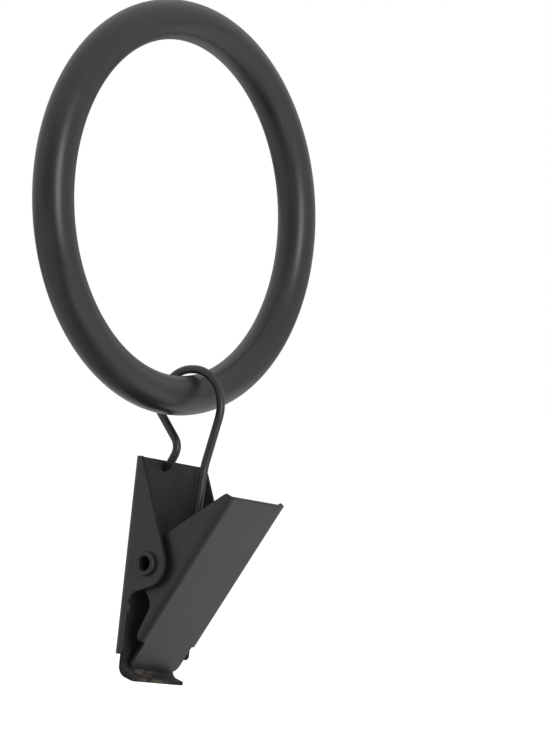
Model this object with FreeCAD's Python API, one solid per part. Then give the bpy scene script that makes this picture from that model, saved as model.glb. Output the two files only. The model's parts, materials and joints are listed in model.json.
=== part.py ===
import FreeCAD, Part
import math
import os

# Curtain ring with a spring clip, in millimetres.
# The origin is the centre of the ring. +Y runs through the ring along the curtain rod, +Z is up.
# The clip hangs from the lowest part of the ring by a wire loop that is also the clip's spring.

# Ring, a round steel bar bent to a circle
ring_bore = 38.0             # clear width inside the ring
bar_diameter = 4.5

# Sheet steel jaws
sheet = 0.4
fold_radius = 0.9            # outside of each fold

# Back jaw, a channel open to the front; places are measured from the pivot
back_width = 11.6
back_face = 3.55             # pivot to the outside of the back plate
back_top = 12.05             # pivot up to the top edge
back_foot = 10.2             # pivot down to where the ears end
back_lobe = 2.65             # radius of each ear around the pivot
back_ear_top = 2.43          # front edge of the ears at the top
back_flange = 1.5            # depth of the ears below the pivot
back_notch = 3.4             # height below the pivot where the ears narrow to that flange
notch_round = 1.3
flange_round = 0.5
plate_corner = 0.3

# Lip, the hooked lower end of the back jaw
lip_width = 9.0
lip_drop = 1.2               # straight run below the ears
lip_bend = 1.4               # outside radius of the hook
lip_turn = 74.0              # degrees turned forward
lip_reach = 1.25             # straight run after the bend
lip_corner = 0.4

# Front jaw, a narrower channel that turns inside the ears of the back jaw
side_play = 0.3              # between the ears of the two jaws, each side when centred
front_shift = 0.2            # how far to one side it sits in that play
front_face = 4.25            # pivot to the outside of the front plate
front_lean = 33.0            # degrees from the back plate
front_top = 12.25            # pivot to the top edge, along the plate
front_foot = 7.6             # pivot to where the ears end, along the plate
front_lobe = 2.2
front_ear_top = 0.85         # depth of the ears at the top edge
front_flange = 1.4           # depth of the ears just below the pivot
front_flange_end = 0.8       # depth of the ears at their lower end
front_notch = 3.35
flange_end_round = 0.85
tongue_width = 8.2
tongue_corner = 0.8
jaw_gap = 0.3                # tongue to the back plate when the clip is shut

# Hollow rivet that both jaws turn on
rivet_diameter = 2.2
rivet_bore = 1.6
rivet_head = 2.8             # diameter of the rolled end
rivet_rise = 0.55            # height of the rolled end over the ear
rivet_play = 0.05            # radial clearance in the front jaw's holes
head_break = 0.16            # chamfer around the rolled ends

# Hanger, one spring wire: hook, loop over the ring, leg, coil around the rivet and short leg
wire = 0.95
wire_offset = -0.8           # plane of the loop, from the middle of the clip
bar_rise = 19.61             # pivot up to the middle of the bar that the loop hangs on
bar_y = 0.63
hang_gap = 0.27              # top of the loop to the bar
loop_front = -5.35           # front corner of the loop, along its flat top
loop_front_radius = 4.5
loop_rear = 4.9              # rear corner
loop_rear_radius = 4.3
shoulder_y = 5.0             # bend below the rear corner
shoulder_rise = 17.95
shoulder_radius = 1.0
elbow_y = -2.7               # slight bend where the long leg leaves the clip
elbow_rise = 11.6
elbow_radius = 7.0
neck_y = 1.3                 # bend between the loop and the hook
neck_rise = 13.75
neck_radius = 1.7
hook_y = 2.6                 # bend where the wire turns out through the back plate
hook_radius = 1.0
hook_out = 0.95              # wire past the outside of the back plate
hook_droop = 0.1             # rise and fall of the wire about the middle of its hole
hole_diameter = 1.1           # hole for the hook
hole_below_top = 0.75
coil_play = 0.4              # radial clearance between the rivet and the coil
coil_pitch = 1.01
coil_turns = 3               # part turns at both ends make them a little fewer
short_leg_angle = 72.0       # where the short leg leaves the coil
short_leg_foot = 2.0         # its end that lies along the front plate
foot_radius = 1.0
leg_gap = 0.03               # short leg to the front plate

# How the clip hangs on the ring
hang_x = 1.35                # side shift of the loop along the bar
hang_roll = 8.5              # degrees about +Y, right side down
hang_lean = 0.9              # degrees about the pivot, top to the front

# Worked out from the sizes above
bar_radius = bar_diameter / 2
ring_radius = ring_bore / 2 + bar_radius
wire_radius = wire / 2
coil_radius = rivet_diameter / 2 + coil_play + wire_radius
back_inside = back_face - sheet
front_width = back_width - 2 * (sheet + side_play)
loop_top = bar_rise + bar_radius + hang_gap + wire_radius
tilt = math.radians(front_lean)
tongue_end = (back_inside - jaw_gap + (front_face - sheet) * math.cos(tilt)) / math.sin(tilt)

X_AXIS = FreeCAD.Vector(1, 0, 0)
Y_AXIS = FreeCAD.Vector(0, 1, 0)
ORIGIN = FreeCAD.Vector(0, 0, 0)


def side(y, z, x=0.0):
    """A point given in side view."""
    return FreeCAD.Vector(x, y, z)


def rounded_edges(corners, closed):
    """Lines through the corners, each corner (point, radius) rounded by a tangent arc."""
    count = len(corners)
    starts, ends, arcs = [], [], []
    for i, (point, radius) in enumerate(corners):
        if radius == 0 or (not closed and i in (0, count - 1)):
            starts.append(point)
            ends.append(point)
            arcs.append(None)
            continue
        before = (corners[i - 1][0] - point).normalize()
        after = (corners[(i + 1) % count][0] - point).normalize()
        half = before.getAngle(after) / 2
        run = radius / math.tan(half)
        centre = point + (before + after).normalize() * (radius / math.sin(half))
        middle = centre + (point - centre).normalize() * radius
        starts.append(point + before * run)
        ends.append(point + after * run)
        arcs.append(middle)
    edges = []
    for i in range(count):
        if arcs[i] is not None:
            edges.append(Part.Arc(starts[i], arcs[i], ends[i]).toShape())
        following = (i + 1) % count
        if (closed or following) and (starts[following] - ends[i]).Length > 1e-6:
            edges.append(Part.LineSegment(ends[i], starts[following]).toShape())
    return edges


def prism(corners, push):
    """A closed outline of rounded corners, pushed along a vector."""
    return Part.Face(Part.Wire(rounded_edges(corners, True))).extrude(push)


def tangent_point(y, z, radius, turn):
    """Where a line from (y, z) touches a circle around the pivot; turn is +1 or -1."""
    angle = math.atan2(z, y) + turn * math.acos(radius / math.hypot(y, z))
    return side(radius * math.cos(angle), radius * math.sin(angle))


def lobe_corner(first, second, radius):
    """The corner whose rounding runs around the pivot between two tangent points."""
    return (first + second) * (1 / (1 + first.dot(second) / radius ** 2))


def pivot_cylinder(radius, length):
    start = FreeCAD.Vector(-length / 2, 0, 0)
    return Part.makeCylinder(radius, length, start, X_AXIS)


def make_ring():
    return Part.makeTorus(ring_radius, bar_radius, ORIGIN, Y_AXIS)


def channel_section(width, face, depth, z):
    """A folded U seen from above: the plate at y = face and both ears, at height z."""
    toward = 1 if depth > 0 else -1
    inner_fold = fold_radius - sheet
    half = width / 2
    outer = [(half, depth + face, 0), (half, face, fold_radius),
             (-half, face, fold_radius), (-half, depth + face, 0)]
    half -= sheet
    face += toward * sheet
    inner = [(-half, outer[3][1], 0), (-half, face, inner_fold),
             (half, face, inner_fold), (half, outer[0][1], 0)]
    corners = [(FreeCAD.Vector(x, y, z), radius) for x, y, radius in outer + inner]
    return Part.Wire(rounded_edges(corners, True))


def ear_outline(lobe, top_y, top_z, notch_y, notch_z, turn):
    """The free edge of an ear from its top, round the pivot, down to its narrow flange."""
    upper = tangent_point(top_y, top_z, lobe, turn)
    lower = tangent_point(notch_y, notch_z, lobe, -turn)
    return [(side(top_y, top_z), 0), (lobe_corner(upper, lower, lobe), lobe),
            (side(notch_y, notch_z), notch_round)]


def make_lip():
    """The strip below the ears, hooked forward under the tongue of the front jaw."""
    inner_bend = lip_bend - sheet
    straight_end = -back_foot - lip_drop
    centre = side(back_face - lip_bend, straight_end)
    turned = math.radians(lip_turn)
    out = side(math.cos(turned), -math.sin(turned))
    ahead = side(-math.sin(turned), -math.cos(turned))
    half = side(math.cos(turned / 2), -math.sin(turned / 2))
    top = -back_foot + flange_round
    edges = [
        Part.LineSegment(side(back_face, top), side(back_face, straight_end)).toShape(),
        Part.Arc(side(back_face, straight_end), centre + half * lip_bend,
                 centre + out * lip_bend).toShape(),
        Part.LineSegment(centre + out * lip_bend, centre + out * lip_bend + ahead * lip_reach).toShape(),
        Part.LineSegment(centre + out * lip_bend + ahead * lip_reach,
                         centre + out * inner_bend + ahead * lip_reach).toShape(),
        Part.LineSegment(centre + out * inner_bend + ahead * lip_reach, centre + out * inner_bend).toShape(),
        Part.Arc(centre + out * inner_bend, centre + half * inner_bend,
                 side(back_inside, straight_end)).toShape(),
        Part.LineSegment(side(back_inside, straight_end), side(back_inside, top)).toShape(),
        Part.LineSegment(side(back_inside, top), side(back_face, top)).toShape(),
    ]
    strip = Part.Face(Part.Wire(edges)).extrude(X_AXIS * lip_width)
    strip.translate(X_AXIS * (-lip_width / 2))
    tip_edges = [edge for edge in strip.Edges if is_tip_corner(edge, centre, ahead, out)]
    return strip.makeFillet(lip_corner, tip_edges)


def is_tip_corner(edge, centre, ahead, out):
    """The two short edges through the sheet at the ends of the lip's tip."""
    middle = edge.CenterOfMass
    along = (side(middle.y, middle.z) - centre).dot(ahead)
    return abs(along - lip_reach) < 1e-3 and abs(abs(middle.x) - lip_width / 2) < 1e-3


def make_back_jaw():
    """Folded channel, trimmed to the ears' outline, with its lip and holes."""
    deep = -(back_face + back_lobe + 1)
    section = Part.Face(channel_section(back_width, back_face, deep, -back_foot))
    channel = section.extrude(FreeCAD.Vector(0, 0, back_foot + back_top))
    flange_y = back_face - back_flange
    outline = ear_outline(back_lobe, back_ear_top, back_top, flange_y, -back_notch, 1)
    outline += [(side(flange_y, -back_foot), flange_round),
                (side(back_face + 1, -back_foot), 0), (side(back_face + 1, back_top), 0)]
    trim = prism(outline, X_AXIS * back_width)
    trim.translate(X_AXIS * (-back_width / 2))
    jaw = channel.common(trim).fuse(make_lip()).removeSplitter()
    jaw = jaw.cut(round_corners(back_width, back_top, plate_corner, back_face))
    jaw = jaw.cut(pivot_cylinder(rivet_diameter / 2, back_width + 2))
    hole = Part.makeCylinder(hole_diameter / 2, sheet + 2,
                             FreeCAD.Vector(wire_offset, back_inside - 1, back_top - hole_below_top),
                             Y_AXIS)
    return jaw.cut(hole)


def round_corners(width, top, radius, face):
    """What is cut away to round both upper corners of a plate seen from the front."""
    pieces = []
    for hand in (-1, 1):
        x = hand * width / 2
        block = Part.makeBox(radius, 4 * fold_radius, radius,
                             FreeCAD.Vector(min(x, x - hand * radius), face - 2 * fold_radius, top - radius))
        round_off = Part.makeCylinder(radius, 4 * fold_radius,
                                      FreeCAD.Vector(x - hand * radius, face - 2 * fold_radius, top - radius),
                                      Y_AXIS)
        pieces.append(block.cut(round_off))
    return Part.Compound(pieces)


def make_front_jaw():
    """Channel with ears round the pivot and a flat tongue, built upright and then leaned."""
    deep = front_face + front_lobe + 1
    section = Part.Face(channel_section(front_width, -front_face, deep, -front_foot))
    channel = section.extrude(FreeCAD.Vector(0, 0, front_foot + front_top))
    flange_y = -front_face + front_flange
    end_y = -front_face + front_flange_end
    outline = ear_outline(front_lobe, -front_face + front_ear_top, front_top,
                          flange_y, -front_notch, -1)
    outline += [(side(end_y, -front_foot), flange_end_round),
                (side(-front_face - 1, -front_foot), 0), (side(-front_face - 1, front_top), 0)]
    trim = prism(outline, X_AXIS * front_width)
    trim.translate(X_AXIS * (-front_width / 2))
    half = tongue_width / 2
    tongue = prism([(FreeCAD.Vector(-half, -front_face, -front_foot + 2), 0),
                    (FreeCAD.Vector(-half, -front_face, -tongue_end), tongue_corner),
                    (FreeCAD.Vector(half, -front_face, -tongue_end), tongue_corner),
                    (FreeCAD.Vector(half, -front_face, -front_foot + 2), 0)],
                   Y_AXIS * sheet)
    jaw = channel.common(trim).fuse(tongue).removeSplitter()
    jaw = jaw.cut(round_corners(front_width, front_top, plate_corner, -front_face))
    jaw = jaw.cut(pivot_cylinder(rivet_diameter / 2 + rivet_play, back_width))
    jaw.rotate(ORIGIN, X_AXIS, front_lean)
    jaw.translate(X_AXIS * front_shift)
    return jaw


def make_rivet():
    """A tube through all four ears, its ends rolled over on the back jaw."""
    ear = back_width / 2
    bore, tube, head = rivet_bore / 2, rivet_diameter / 2, rivet_head / 2
    tip = ear + rivet_rise
    cut = head_break
    end = [(ear, tube), (ear, head), (tip - cut, head), (tip, head - cut), (tip, bore + cut), (tip - cut, bore)]
    profile = [FreeCAD.Vector(x, r, 0) for x, r in end]
    profile += [FreeCAD.Vector(-x, r, 0) for x, r in reversed(end)]
    return Part.Face(Part.makePolygon(profile + profile[:1])).revolve(ORIGIN, X_AXIS, 360)


def loop_path():
    """Side view of the wire from the tip of the hook, over the ring, to the start of the coil."""
    hole_z = back_top - hole_below_top
    tip = side(back_face + hook_out, hole_z - hook_droop)
    bend = side(hook_y, hole_z + hook_droop)
    neck = side(neck_y, neck_rise)
    elbow = side(elbow_y, elbow_rise)
    coil_start = tangent_point(elbow_y, elbow_rise, coil_radius, 1)
    corners = [(tip, 0), (bend, hook_radius), (neck, neck_radius),
               (side(shoulder_y, shoulder_rise), shoulder_radius), (side(loop_rear, loop_top), loop_rear_radius),
               (side(loop_front, loop_top), loop_front_radius), (elbow, elbow_radius), (coil_start, 0)]
    return rounded_edges(corners, False), coil_start


def coil_path(coil_start):
    """The turns around the rivet; gives their edges and how far they reach along the pivot."""
    start_angle = math.degrees(math.atan2(coil_start.z, coil_start.y)) % 360
    turns = coil_turns + (short_leg_angle - start_angle) / 360
    helix = Part.makeHelix(coil_pitch, coil_pitch * turns, coil_radius)
    helix.rotate(ORIGIN, Y_AXIS, 90)
    helix.rotate(ORIGIN, X_AXIS, start_angle + 90)
    return helix.Edges, coil_pitch * turns


def short_leg_path(x):
    """From the coil to the inside of the front plate, ending flat along it."""
    leave = math.radians(short_leg_angle)
    start = side(coil_radius * math.cos(leave), coil_radius * math.sin(leave), x)
    ahead = side(-math.sin(leave), math.cos(leave))
    inward = side(math.cos(tilt), math.sin(tilt))
    upward = side(-math.sin(tilt), math.cos(tilt))
    reach = -(front_face - sheet - wire_radius - leg_gap)
    bend = start + ahead * ((reach - start.dot(inward)) / ahead.dot(inward))
    return rounded_edges([(start, 0), (bend, foot_radius), (bend + upward * short_leg_foot, 0)], False)


def make_hanger():
    """The whole wire in one sweep, in the frame of the clip."""
    loop, coil_start = loop_path()
    coil, coil_length = coil_path(coil_start)
    path = Part.Wire(loop + coil + short_leg_path(coil_length))
    tip = loop[0]
    section = Part.Circle(tip.valueAt(tip.FirstParameter), tip.tangentAt(tip.FirstParameter), wire_radius)
    hanger = path.makePipeShell([Part.Wire(section.toShape())], True, True, 1)
    hanger.translate(FreeCAD.Vector(wire_offset, 0, 0))
    print("wire length", round(path.Length, 2), "swept volume", round(path.Length * math.pi * wire_radius ** 2, 2))
    return hanger


def hang(shape):
    """Move a piece from the clip's own frame to where the clip hangs on the ring."""
    turn = FreeCAD.Rotation(Y_AXIS, hang_roll).multiply(FreeCAD.Rotation(X_AXIS, hang_lean))
    seat = turn.multVec(FreeCAD.Vector(wire_offset, bar_y, bar_rise))
    bar_middle = FreeCAD.Vector(hang_x, 0, -math.sqrt(ring_radius ** 2 - hang_x ** 2))
    placed = shape.copy()
    placed.Placement = FreeCAD.Placement(bar_middle - seat, turn).multiply(placed.Placement)
    return placed


pieces = {
    "ring": make_ring(),
    "hanger_spring": hang(make_hanger()),
    "back_jaw": hang(make_back_jaw()),
    "front_jaw": hang(make_front_jaw()),
    "pivot_rivet": hang(make_rivet()),
}

os.makedirs("parts", exist_ok=True)
for name, shape in pieces.items():
    shape.exportStep("parts/" + name + ".step")
    print(name, "valid", shape.isValid(), "solids", len(shape.Solids), "volume", round(shape.Volume, 2))
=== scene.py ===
import bpy
import bmesh
import json
import math
from mathutils import Matrix, Vector


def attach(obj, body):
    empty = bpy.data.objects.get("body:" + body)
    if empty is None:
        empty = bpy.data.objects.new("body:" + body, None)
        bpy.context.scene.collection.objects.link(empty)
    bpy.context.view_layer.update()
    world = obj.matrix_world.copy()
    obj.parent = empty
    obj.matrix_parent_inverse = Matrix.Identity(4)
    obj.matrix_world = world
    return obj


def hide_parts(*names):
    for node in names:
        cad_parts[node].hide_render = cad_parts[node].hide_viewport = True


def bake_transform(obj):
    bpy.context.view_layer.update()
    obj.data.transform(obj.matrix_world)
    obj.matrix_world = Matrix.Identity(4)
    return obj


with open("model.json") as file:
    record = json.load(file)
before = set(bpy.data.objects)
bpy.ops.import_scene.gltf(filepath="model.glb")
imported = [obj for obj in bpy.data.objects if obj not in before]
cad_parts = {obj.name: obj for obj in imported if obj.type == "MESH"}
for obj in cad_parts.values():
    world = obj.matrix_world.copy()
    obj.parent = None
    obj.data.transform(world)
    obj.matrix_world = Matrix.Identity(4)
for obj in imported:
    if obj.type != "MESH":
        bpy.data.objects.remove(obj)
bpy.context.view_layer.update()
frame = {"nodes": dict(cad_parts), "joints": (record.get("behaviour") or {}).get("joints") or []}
mm = 0.001
joints = {joint["name"]: joint for joint in frame["joints"]}
print("frame loaded")


# camera, fitted to the ellipse of the ring and the corners of the clip

camera = {
    "azimuth": -51.82,        # degrees, 0 looks along +Y
    "elevation": -0.16,
    "distance": 294.2,        # mm from the middle of the ring
    "right": 10.54,
    "down": 17.94,
    "focal": 2600 / 733,      # focal length over picture height
    "sensor": 36.0,
    "clipStart": 0.01,        # m
}


def makeCamera():
    turn = math.radians(camera["azimuth"])
    tilt = math.radians(camera["elevation"])
    right = Vector((math.cos(turn), math.sin(turn), 0))
    ahead = Vector((-math.sin(turn) * math.cos(tilt), math.cos(turn) * math.cos(tilt),
                    -math.sin(tilt)))
    up = right.cross(ahead)
    place = (right * camera["right"] - ahead * camera["distance"] - up * camera["down"]) * mm
    data = bpy.data.cameras.new("camera")
    data.sensor_width = camera["sensor"]
    data.lens = camera["focal"] * camera["sensor"]
    data.clip_start = camera["clipStart"]
    made = bpy.data.objects.new("camera", data)
    made.matrix_world = Matrix.Translation(place) @ Matrix((right, up, -ahead)).transposed().to_4x4()
    bpy.context.scene.collection.objects.link(made)
    bpy.context.scene.camera = made


makeCamera()
print("camera placed")


# black enamel on steel

paint = {                     # what all the enamels share
    "specular": 0.5,
    "patchDetail": 5.0,
    "patchRough": 0.6,
    "toneSpan": (0.35, 0.68),     # noise where thick paint ends and thin paint begins
    "glossSpan": (0.3, 0.7),
    "peelDetail": 2.0,
    "peelRough": 0.5,
    "peelStrength": 0.5,
}
ringEnamel = {
    "dark": (0.016, 0.016, 0.017),
    "light": (0.023, 0.023, 0.024),
    "patch": 90,              # mottle, per metre
    "rough": (0.30, 0.38),
    "peel": 2600,             # orange peel, per metre
    "peelDepth": 0.000009,
}
jawEnamel = {
    "dark": (0.016, 0.016, 0.0175),
    "light": (0.023, 0.023, 0.026),
    "patch": 260,
    "rough": (0.36, 0.46),
    "peel": 4200,
    "peelDepth": 0.000003,
}
# cut and broken edges of the jaws: a near-black tone that paints shade on them, and rougher paint
shadedCutEdge = {
    "tone": (0.006, 0.006, 0.006),
    "rough": 0.85,
}
wearAndPaintedLight = {
    "tone": (0.175, 0.150, 0.120),   # thin paint with the steel showing brown, lighter, so on the lip and at the ear's notch also a painted highlight
    "spots": (                       # mm, places in the clip's frame, reach and strength
        (-1.0, 1.4, -12.4, 3.6, 1.0),
        (-5.7, 1.2, -4.6, 1.5, 1.0),
        (2.2, 3.1, 4.8, 3.2, 0.22),
    ),
    "patch": 1100,
    "detail": 4.0,
    "noiseRough": 0.6,
    "amount": (0.44, 0.66),          # noise where a worn patch with its painted highlight starts and is full
    "core": 0.4,                     # share of a spot's reach where the wear and painted highlight are strongest
    "inside": (0.019, 0.0175, 0.0165),   # painted shade on the back jaw's inside, with duller paint
    "insideRough": 0.72,
}
wireEnamel = {
    "dark": (0.021, 0.021, 0.022),
    "light": (0.030, 0.030, 0.031),
    "patch": 300,
    "rough": (0.28, 0.38),
    "peel": 5200,
    "peelDepth": 0.000003,
}
rivetEnamel = {
    "dark": (0.013, 0.013, 0.013),
    "light": (0.022, 0.021, 0.021),
    "patch": 500,
    "rough": (0.46, 0.56),
    "peel": 5200,
    "peelDepth": 0.000004,
}


def addNode(nodes, kind, **values):
    made = nodes.new(kind)
    for name, value in values.items():
        made.inputs[name].default_value = value
    return made


def mathNode(nodes, links, operation, *values):
    made = nodes.new("ShaderNodeMath")
    made.operation = operation
    for socket, value in zip(made.inputs, values):
        if isinstance(value, float):
            socket.default_value = value
        else:
            links.new(value, socket)
    return made.outputs[0]


def vectorNode(nodes, links, operation, where, fixed):
    made = nodes.new("ShaderNodeVectorMath")
    made.operation = operation
    links.new(where, made.inputs[0])
    made.inputs[1].default_value = fixed
    return made.outputs["Value"]


def mapRange(nodes, links, value, span, tones):
    made = addNode(nodes, "ShaderNodeMapRange", **{"From Min": span[0], "From Max": span[1],
                                                   "To Min": tones[0], "To Max": tones[1]})
    links.new(value, made.inputs["Value"])
    return made.outputs["Result"]


def mixColor(nodes, links, factor, first, second):
    made = nodes.new("ShaderNodeMix")
    made.data_type = "RGBA"
    links.new(factor, made.inputs[0])
    links.new(first, made.inputs[6])           # the two colours are the inputs 6 and 7
    made.inputs[7].default_value = (*second, 1)
    return made.outputs[2]


def enamel(name, look):
    material = bpy.data.materials.new(name)
    material.use_nodes = True
    nodes, links = material.node_tree.nodes, material.node_tree.links
    shader = nodes["Principled BSDF"]
    shader.inputs["Specular IOR Level"].default_value = paint["specular"]
    place = nodes.new("ShaderNodeTexCoord").outputs["Object"]
    patch = addNode(nodes, "ShaderNodeTexNoise", Scale=look["patch"], Detail=paint["patchDetail"],
                    Roughness=paint["patchRough"])
    tone = nodes.new("ShaderNodeValToRGB")
    for i, part in enumerate(("dark", "light")):
        tone.color_ramp.elements[i].position = paint["toneSpan"][i]
        tone.color_ramp.elements[i].color = (*look[part], 1)
    peel = addNode(nodes, "ShaderNodeTexNoise", Scale=look["peel"], Detail=paint["peelDetail"],
                   Roughness=paint["peelRough"])
    bump = addNode(nodes, "ShaderNodeBump", Strength=paint["peelStrength"], Distance=look["peelDepth"])
    links.new(place, patch.inputs["Vector"])
    links.new(place, peel.inputs["Vector"])
    links.new(patch.outputs["Fac"], tone.inputs["Fac"])
    links.new(peel.outputs["Fac"], bump.inputs["Height"])
    links.new(bump.outputs["Normal"], shader.inputs["Normal"])
    color = tone.outputs["Color"]
    rough = mapRange(nodes, links, patch.outputs["Fac"], paint["glossSpan"], look["rough"])
    if look is jawEnamel:
        color, rough = sheetPaint(nodes, links, place, color, rough)
    links.new(color, shader.inputs["Base Color"])
    links.new(rough, shader.inputs["Roughness"])
    return material


# worn brown patches, lighter than the paint; on the lip and at the ear's notch they also paint a
# highlight
def wornAndHighlitPaint(nodes, links, place, spotArea, color):
    patch = addNode(nodes, "ShaderNodeTexNoise", Scale=wearAndPaintedLight["patch"], Detail=wearAndPaintedLight["detail"],
                    Roughness=wearAndPaintedLight["noiseRough"])
    links.new(place, patch.inputs["Vector"])
    patchy = mapRange(nodes, links, patch.outputs["Fac"], wearAndPaintedLight["amount"], (0.0, 1.0))
    for x, y, z, reach, strength in wearAndPaintedLight["spots"]:
        away = vectorNode(nodes, links, "DISTANCE", place, clip @ Vector((x, y, z)))
        near = mapRange(nodes, links, away, (reach * wearAndPaintedLight["core"] * mm, reach * mm), (strength, 0.0))
        amount = mathNode(nodes, links, "MULTIPLY", near, patchy)
        amount = mathNode(nodes, links, "MULTIPLY", amount, spotArea)
        color = mixColor(nodes, links, amount, color, wearAndPaintedLight["tone"])
    return color


def sheetPaint(nodes, links, place, color, rough):
    # the sheet's mark: red on the cut edges, which get a painted shade and rougher paint, green on the
    # back jaw's inside, which gets a painted shade and duller paint, blue where worn patches with a
    # painted highlight may go
    mark = nodes.new("ShaderNodeVertexColor")
    mark.layer_name = "sheetMark"
    parts = nodes.new("ShaderNodeSeparateColor")
    links.new(mark.outputs["Color"], parts.inputs["Color"])
    edge, inside = parts.outputs["Red"], parts.outputs["Green"]
    for part, dull in ((inside, wearAndPaintedLight["insideRough"]), (edge, shadedCutEdge["rough"])):
        duller = addNode(nodes, "ShaderNodeMapRange", **{"To Max": dull})
        links.new(part, duller.inputs["Value"])
        links.new(rough, duller.inputs["To Min"])
        rough = duller.outputs["Result"]
    color = mixColor(nodes, links, inside, color, wearAndPaintedLight["inside"])
    color = mixColor(nodes, links, edge, color, shadedCutEdge["tone"])
    return wornAndHighlitPaint(nodes, links, place, parts.outputs["Blue"], color), rough


def addPiece(name, bm, material, node):
    mesh = bpy.data.meshes.new(name)
    bm.to_mesh(mesh)
    bm.free()
    mesh.shade_smooth()
    mesh.materials.append(material)
    made = bpy.data.objects.new(name, mesh)
    bpy.context.scene.collection.objects.link(made)
    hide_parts(node)
    return made


# ring, a round bar

ring = {
    "middle": 21.25,          # mm to the middle of the bar
    "bar": 2.25,
    "around": 288,
    "across": 64,
    "weld": 1e-7,             # m, points closer than this become one
}


def makeRing():
    bm = bmesh.new()
    made = bmesh.ops.create_circle(bm, segments=ring["across"], radius=ring["bar"] * mm,
                                   matrix=Matrix.Translation((ring["middle"] * mm, 0, 0)))
    section = list({edge for vert in made["verts"] for edge in vert.link_edges})
    bmesh.ops.spin(bm, geom=made["verts"] + section, angle=math.tau, steps=ring["around"],
                   axis=(0, 1, 0), cent=(0, 0, 0), use_merge=True)
    bmesh.ops.remove_doubles(bm, verts=bm.verts, dist=ring["weld"])
    bmesh.ops.recalc_face_normals(bm, faces=bm.faces)
    piece = addPiece("ring_bar", bm, enamel("ringEnamel", ringEnamel), "ring")
    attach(piece, "ring")


makeRing()
print("ring made")


# the clip's own frame in mm: x along the rivet, -y to the front, z up along the back plate

hang = {
    "roll": 8.5,              # degrees about +Y
    "lean": 0.9,              # degrees about the rivet
}


def clipFrame():
    pivot = Vector(joints["jaw_open"]["pos_m"])
    roll = Matrix.Rotation(math.radians(hang["roll"]), 4, "Y")
    turn = roll @ Matrix.Rotation(math.radians(hang["lean"]), 4, "X")
    return Matrix.Translation(pivot) @ turn @ Matrix.Scale(mm, 4)


clip = clipFrame()


# hanger, one wire: hook, loop over the ring, long leg, coil round the rivet, short leg

hanger = {
    "wire": 0.475,            # radius
    "plane": -0.8,            # of the loop, from the middle of the clip
    "tip": (4.5, 11.2),       # y and z of the hook's end
    "bends": (
        (2.6, 11.4, 1.0),     # hook: y, z and radius
        (1.3, 13.75, 1.7),    # neck
        (5.0, 17.95, 1.0),    # shoulder
        (4.9, 22.605, 4.3),   # rear of the loop
        (-5.35, 22.605, 4.5), # front of the loop
        (-2.7, 11.6, 7.0),    # elbow
    ),
    "coil": 1.975,            # radius
    "pitch": 1.01,            # along the rivet, for each turn
    "turns": 3,
    "leave": 72.0,            # degrees, where the short leg leaves the coil
    "reach": 3.345,           # pivot to the short leg's end, square to the front plate
    "lean": 33.0,             # of the front plate
    "foot": 2.0,              # length along the plate
    "footBend": 1.0,
    "knotStep": 45.0,         # most degrees from knot to knot
    "smooth": 10,             # steps from knot to knot
    "sides": 12,              # bevel resolution of the wire
    "cutRound": 0.12,         # rounding of the cut ends
    "cutSteps": 3,
    "cutSides": 8,            # only the cut ends' faces have more sides
    "weld": 1e-4,             # mm
    "coilSide": (-0.8, 1.9),  # x between which the real coil turns with the front jaw
}


def side(y, z, x=0.0):
    return Vector((hanger["plane"] + x, y, z))


def touch(radius, seen):
    # where a line from a point touches a circle round the pivot, as an angle
    return math.atan2(seen[1], seen[0]) + math.acos(radius / math.hypot(seen[0], seen[1]))


def arcKnots(centre, radius, start, end, rise=0.0):
    # knots along an arc or a coil: place, handle in, handle out
    count = max(1, math.ceil(abs(end - start) / math.radians(hanger["knotStep"])))
    step = (end - start) / count
    handle = 4 / 3 * math.tan(step / 4) * radius    # keeps the curve on the circle
    knots = []
    for i in range(count + 1):
        angle = start + step * i
        climb = rise / count / 3 if 0 < i < count else 0.0
        along = Vector((climb, -math.sin(angle) * handle, math.cos(angle) * handle))
        place = side(centre[0] + radius * math.cos(angle), centre[1] + radius * math.sin(angle),
                     rise * i / count)
        knots.append([place, along, along])
    knots[0][1] = knots[-1][2] = None    # a straight run sets its own handles
    return knots


def bendKnots(before, corner, after, shift=0.0):
    # a corner (y, z, radius) rounded between its neighbours
    point, radius = Vector(corner[:2]), corner[2]
    toBefore = (Vector(before[:2]) - point).normalized()
    toAfter = (Vector(after[:2]) - point).normalized()
    half = toBefore.angle(toAfter) / 2
    centre = point + (toBefore + toAfter).normalized() * (radius / math.sin(half))
    first = point + toBefore * (radius / math.tan(half)) - centre
    turned = math.pi - 2 * half
    if toBefore.x * toAfter.y - toBefore.y * toAfter.x > 0:
        turned = -turned
    start = math.atan2(first.y, first.x)
    knots = arcKnots(centre, radius, start, start + turned)
    for knot in knots:
        knot[0].x += shift
    return knots


def hangerKnots():
    coil, bends = hanger["coil"], hanger["bends"]
    coilStart = touch(coil, bends[-1])
    leave = math.radians(hanger["leave"])
    coilEnd = leave + math.tau * hanger["turns"]
    rise = hanger["pitch"] * (coilEnd - coilStart) / math.tau
    startPoint = (coil * math.cos(coilStart), coil * math.sin(coilStart))
    lean = math.radians(hanger["lean"])
    inward = Vector((math.cos(lean), math.sin(lean)))
    upward = Vector((-math.sin(lean), math.cos(lean)))
    leavePoint = Vector((coil * math.cos(leave), coil * math.sin(leave)))
    ahead = Vector((-math.sin(leave), math.cos(leave)))
    straight = (-hanger["reach"] - leavePoint.dot(inward)) / ahead.dot(inward)
    foot = leavePoint + ahead * straight
    end = foot + upward * hanger["foot"]
    knots = [[side(*hanger["tip"]), None, None]]
    route = [hanger["tip"], *bends, startPoint]
    for before, corner, after in zip(route, bends, route[2:]):
        knots += bendKnots(before, corner, after)
    knots += arcKnots((0, 0), coil, coilStart, coilEnd, rise)
    knots += bendKnots(leavePoint, (*foot, hanger["footBend"]), end, rise)
    knots.append([side(*end, rise), None, None])
    return knots


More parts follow.
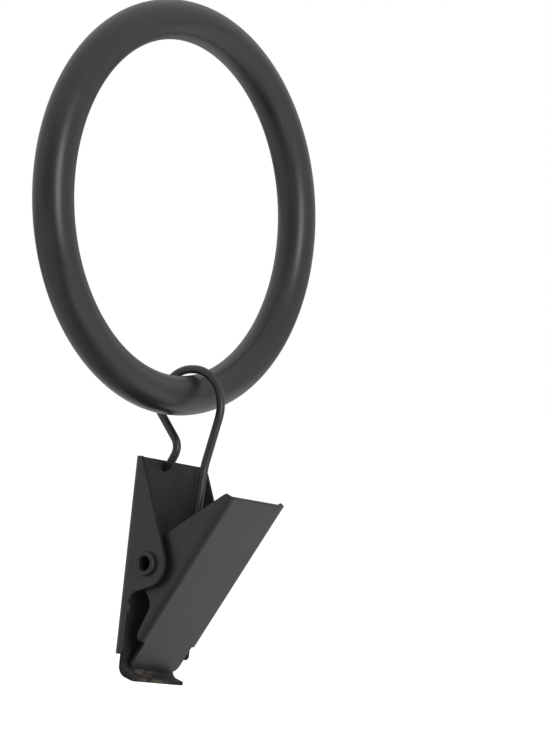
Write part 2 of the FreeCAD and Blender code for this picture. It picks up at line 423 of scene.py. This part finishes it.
def wireMesh(knots):
    curve = bpy.data.curves.new("hanger_wire", "CURVE")
    curve.dimensions = "3D"
    curve.bevel_depth = hanger["wire"]
    curve.bevel_resolution = hanger["sides"]
    curve.resolution_u = hanger["smooth"]
    curve.use_fill_caps = True
    spline = curve.splines.new("BEZIER")
    spline.bezier_points.add(len(knots) - 1)
    for i, (place, before, after) in enumerate(knots):
        point = spline.bezier_points[i]
        point.handle_left_type = point.handle_right_type = "FREE"
        point.co = place
        onward = knots[min(i + 1, len(knots) - 1)][0] - place
        back = place - knots[max(i - 1, 0)][0]
        point.handle_left = place - (before if before is not None else back / 3)
        point.handle_right = place + (after if after is not None else onward / 3)
    holder = bpy.data.objects.new("hanger_curve", curve)
    bpy.context.scene.collection.objects.link(holder)
    bpy.context.view_layer.update()
    mesh = bpy.data.meshes.new_from_object(holder.evaluated_get(bpy.context.evaluated_depsgraph_get()))
    bpy.data.objects.remove(holder)
    return mesh


def makeHanger():
    bm = bmesh.new()
    mesh = wireMesh(hangerKnots())
    bm.from_mesh(mesh)
    bpy.data.meshes.remove(mesh)
    bmesh.ops.remove_doubles(bm, verts=bm.verts, dist=hanger["weld"])
    cuts = [face for face in bm.faces if len(face.verts) > hanger["cutSides"]]
    rims = [edge for edge in bm.edges if any(face in cuts for face in edge.link_faces)]
    bmesh.ops.bevel(bm, geom=rims, offset=hanger["cutRound"], segments=hanger["cutSteps"], profile=0.5,
                    affect="EDGES", material=-1)
    bmesh.ops.recalc_face_normals(bm, faces=bm.faces)
    bmesh.ops.transform(bm, matrix=clip, verts=bm.verts)
    material = enamel("wireEnamel", wireEnamel)
    piece = addPiece("hanger_wire", bm, material, "hanger_spring")
    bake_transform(piece)


makeHanger()
print("hanger made")


# jaws, from the CAD solids with their sharp edges broken

sheet = {
    "edge": 0.05,             # mm, broken edge of the cut sheet
    "steps": 2,
    "sharp": 38.0,            # degrees, edges that get broken
    "flat": 1.0,              # degrees, facets that are joined
    "strip": 0.3,             # mm, area over rim of the widest cut edge
    "hole": (-0.8, 11.3, 0.7),   # mm, x, z and reach of the hook's hole
    "holePaint": 0.88,        # its size with the paint that closes it round the wire
    "weld": 1e-6,             # m
}


def cutFaces(bm, sharp):
    # regions between sharp edges that are no wider than the sheet is thick
    rim, left, cut = set(sharp), set(bm.faces), []
    while left:
        region, front = [], [left.pop()]
        while front:
            face = front.pop()
            region.append(face)
            for edge in face.edges:
                near = [other for other in edge.link_faces if other in left and edge not in rim]
                left.difference_update(near)
                front += near
        length = sum(edge.calc_length() for face in region for edge in face.edges if edge in rim)
        if sum(face.calc_area() for face in region) < length * sheet["strip"] * mm:
            cut += region
    return cut


def paintHole(bm):
    x, z, reach = sheet["hole"]
    toClip = clip.inverted()
    for vert in bm.verts:
        place = toClip @ vert.co
        away = Vector((place.x - x, place.z - z))
        if away.length < reach:
            place.x, place.z = x + away.x * sheet["holePaint"], z + away.y * sheet["holePaint"]
            vert.co = clip @ place


def markFaces(faces, mark, *parts):
    for face in faces:
        for loop in face.loops:
            loop[mark] = (*parts, 1)


def insideFaces(bm):
    # faces turned to the clip's middle line
    toClip = clip.inverted()
    found = []
    for face in bm.faces:
        middle = toClip @ face.calc_center_median()
        normal = toClip.to_3x3() @ face.normal
        if normal.x * middle.x + normal.y * middle.y < 0:
            found.append(face)
    return found


def foldedSheet(node):
    bm = bmesh.new()
    bm.from_mesh(frame["nodes"][node].data)
    bmesh.ops.remove_doubles(bm, verts=bm.verts, dist=sheet["weld"])
    bmesh.ops.dissolve_limit(bm, angle_limit=math.radians(sheet["flat"]), verts=bm.verts,
                             edges=bm.edges)
    back = node == "back_jaw"
    if back:
        paintHole(bm)
    limit = math.radians(sheet["sharp"])
    sharp = [edge for edge in bm.edges if edge.is_manifold and edge.calc_face_angle() > limit]
    mark = bm.loops.layers.float_color.new("sheetMark")
    markFaces(bm.faces, mark, 0, 0, 0)
    if back:
        # the back jaw's inside is marked for a painted shade and for worn patches
        markFaces(insideFaces(bm), mark, 0, 1, 1)
    # cut faces and broken edges are marked for a painted shade
    markFaces(cutFaces(bm, sharp), mark, 1, 0, back)
    rounded = bmesh.ops.bevel(bm, geom=sharp, offset=sheet["edge"] * mm, segments=sheet["steps"],
                              profile=0.5, affect="EDGES", material=-1)
    markFaces(rounded["faces"], mark, 1, 0, back)
    return bm


def makeSheetPiece(name, node, material, body):
    piece = addPiece(name, foldedSheet(node), material, node)
    evenShade = piece.modifiers.new("even_shade", "WEIGHTED_NORMAL")
    evenShade.keep_sharp = True
    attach(piece, body)


jawPaint = enamel("jawEnamel", jawEnamel)
makeSheetPiece("back_jaw_sheet", "back_jaw", jawPaint, "clip")
makeSheetPiece("front_jaw_sheet", "front_jaw", jawPaint, "lever")
print("jaws made")


# rivet, a tube with its ends rolled round

rivet = {
    "ear": 5.8,               # mm from the middle to the outside of the ears
    "tip": 6.35,
    "bore": 0.8,              # radii
    "tube": 1.1,
    "bead": 0.3,
    "across": 5,              # steps in a quarter of the bead
    "around": 64,
    "weld": 1e-4,             # mm
}


def rivetProfile():
    # x and distance from the middle line, from the bore to the outside of one end
    tip, bead = rivet["tip"], rivet["bead"]
    middle = rivet["bore"] + bead
    steps = 2 * rivet["across"]
    turns = [math.pi * i / steps for i in range(steps + 1)]
    rolled = [(tip - bead + bead * math.sin(turn), middle - bead * math.cos(turn)) for turn in turns]
    return rolled + [(rivet["ear"], middle + bead), (rivet["ear"], rivet["tube"])]


def makeRivet():
    bm = bmesh.new()
    half = rivetProfile()
    whole = half + [(-x, radius) for x, radius in reversed(half)]
    verts = [bm.verts.new((x, radius, 0)) for x, radius in whole]
    edges = [bm.edges.new((verts[i - 1], verts[i])) for i in range(len(verts))]
    bmesh.ops.spin(bm, geom=verts + edges, angle=math.tau, steps=rivet["around"], axis=(1, 0, 0),
                   cent=(0, 0, 0), use_merge=True)
    bmesh.ops.remove_doubles(bm, verts=bm.verts, dist=rivet["weld"])
    bmesh.ops.recalc_face_normals(bm, faces=bm.faces)
    bmesh.ops.transform(bm, matrix=clip, verts=bm.verts)
    material = enamel("rivetEnamel", rivetEnamel)
    piece = addPiece("rolled_rivet", bm, material, "pivot_rivet")
    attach(piece, "clip")


makeRivet()
print("rivet made")


# floor, lamps and sky

studio = {
    "floor": -0.085,          # height, m
    "floorSize": 6.0,
    "floorTone": (0.80, 0.80, 0.80),
    "floorRough": 0.9,
    "floorLift": 0.78,        # added white where the camera sees the floor
    "roomLight": 0.3,         # what the room adds to the lamps on the things
}
lamps = {
    "strip": {"from": (-0.27, -0.68, -0.05), "size": (0.28, 0.76), "power": 3.7, "mirrored": True},
    "top": {"from": (0.1, -0.1, 0.7), "size": (0.5, 0.5), "power": 1.2, "mirrored": False},
}
lampAim = (0.0, 0.0, -0.015)
mirror = {                    # what the paint mirrors: the sky, and a painted glow on the floor that only reflections see
    "floorSide": (0.953, -0.304, 0.0),   # the side where the floor's painted glow is bright
    "floorSpan": (-0.010, 0.045),        # m to that side, over which it brightens
    "floorTones": (0.25, 1.12),
    "backSide": (-0.6, 0.8, 0.0),        # a second bright side of the floor's painted glow, left behind
    "backSpan": (0.0, 0.08),
    "backTone": 0.55,
    "pool": (-0.055, -0.120),            # m, middle of a painted pool of the strip lamp's light on the floor
    "poolSpan": (0.02, 0.06),            # m from it, over which it fades
    "poolTone": 1.6,
    "wallTone": 0.85,                    # white walls
    "darkSide": (-0.966, -0.259, 0.0),   # the darker side of the room, left of the camera
    "darkSpan": (0.68, 1.0),             # cosines to that side, over which the walls darken
    "darkTone": 0.26,
    "farSide": (0.786, 0.618, 0.0),      # behind the things, dimmer, as the flat rims show it
    "farSky": (0.75, 1.0),
    "farFloor": (0.06, 0.25),
    "farTone": 0.35,
}


def byRay(nodes, links, seen, mirrored, onThings):
    # one brightness where the camera looks, one in the paint and one for light that falls on things
    path = nodes.new("ShaderNodeLightPath").outputs
    direct = mathNode(nodes, links, "MAXIMUM", path["Is Camera Ray"], path["Is Transmission Ray"])
    total = mathNode(nodes, links, "MULTIPLY", direct, seen)
    for ray, tone in ((path["Is Glossy Ray"], mirrored), (path["Is Diffuse Ray"], onThings)):
        total = mathNode(nodes, links, "ADD", total, mathNode(nodes, links, "MULTIPLY", ray, tone))
    return total


def fade(nodes, links, where, side, span, tones):
    # from one tone to the other along a direction
    along = vectorNode(nodes, links, "DOT_PRODUCT", where, side)
    return mapRange(nodes, links, along, span, tones)


# the floor as the paint mirrors it: a glow that paints light and shade on it, bright to one side and
# left behind, a pool of the strip lamp's light, dimmer behind the things
def paintedFloorGlow(nodes, links):
    where = nodes.new("ShaderNodeTexCoord").outputs["Object"]
    spread = fade(nodes, links, where, mirror["floorSide"], mirror["floorSpan"], mirror["floorTones"])
    away = vectorNode(nodes, links, "DISTANCE", where, (*mirror["pool"], studio["floor"]))
    pool = mapRange(nodes, links, away, mirror["poolSpan"], (mirror["poolTone"], 0.0))
    back = fade(nodes, links, where, mirror["backSide"], mirror["backSpan"], (0.0, mirror["backTone"]))
    far = fade(nodes, links, where, mirror["farSide"], mirror["farFloor"], (1.0, mirror["farTone"]))
    tone = mathNode(nodes, links, "ADD", spread, pool)
    tone = mathNode(nodes, links, "ADD", tone, back)
    glow = addNode(nodes, "ShaderNodeEmission", Color=(1, 1, 1, 1))
    links.new(mathNode(nodes, links, "MULTIPLY", tone, far), glow.inputs["Strength"])
    return glow


def floorPaper():
    material = bpy.data.materials.new("floorPaper")
    material.use_nodes = True
    nodes, links = material.node_tree.nodes, material.node_tree.links
    shader = nodes["Principled BSDF"]
    shader.inputs["Base Color"].default_value = (*studio["floorTone"], 1)
    shader.inputs["Roughness"].default_value = studio["floorRough"]
    shader.inputs["Emission Color"].default_value = (1, 1, 1, 1)
    links.new(byRay(nodes, links, studio["floorLift"], 0.0, 0.0), shader.inputs["Emission Strength"])
    choice = nodes.new("ShaderNodeMixShader")
    links.new(nodes.new("ShaderNodeLightPath").outputs["Is Glossy Ray"], choice.inputs[0])
    links.new(shader.outputs[0], choice.inputs[1])
    links.new(paintedFloorGlow(nodes, links).outputs[0], choice.inputs[2])
    links.new(choice.outputs[0], nodes["Material Output"].inputs["Surface"])
    return material


def makeFloor():
    bm = bmesh.new()
    bmesh.ops.create_grid(bm, x_segments=2, y_segments=2, size=studio["floorSize"] / 2,
                          matrix=Matrix.Translation((0, 0, studio["floor"])))
    mesh = bpy.data.meshes.new("floor")
    bm.to_mesh(mesh)
    bm.free()
    mesh.materials.append(floorPaper())
    floor = bpy.data.objects.new("floor", mesh)
    bpy.context.scene.collection.objects.link(floor)


def makeSky():
    world = bpy.data.worlds.new("sky")
    bpy.context.scene.world = world
    world.use_nodes = True
    nodes, links = world.node_tree.nodes, world.node_tree.links
    background = nodes["Background"]
    background.inputs["Color"].default_value = (1, 1, 1, 1)
    where = nodes.new("ShaderNodeTexCoord").outputs["Generated"]
    walls = fade(nodes, links, where, mirror["darkSide"], mirror["darkSpan"],
                 (mirror["wallTone"], mirror["darkTone"]))
    far = fade(nodes, links, where, mirror["farSide"], mirror["farSky"], (1.0, mirror["farTone"]))
    walls = mathNode(nodes, links, "MULTIPLY", walls, far)
    strength = byRay(nodes, links, 1.0, walls, studio["roomLight"])
    links.new(strength, background.inputs["Strength"])


def makeLamps():
    for name, lamp in lamps.items():
        data = bpy.data.lights.new(name, "AREA")
        data.shape = "RECTANGLE"
        data.size, data.size_y = lamp["size"]
        data.energy = lamp["power"]
        made = bpy.data.objects.new(name, data)
        made.visible_glossy = lamp["mirrored"]
        place = Vector(lamp["from"])
        turn = (Vector(lampAim) - place).to_track_quat("-Z", "Y").to_matrix().to_4x4()
        made.matrix_world = Matrix.Translation(place) @ turn
        bpy.context.scene.collection.objects.link(made)


makeFloor()
makeSky()
makeLamps()
bpy.context.scene.view_settings.view_transform = "Standard"
print("studio made")
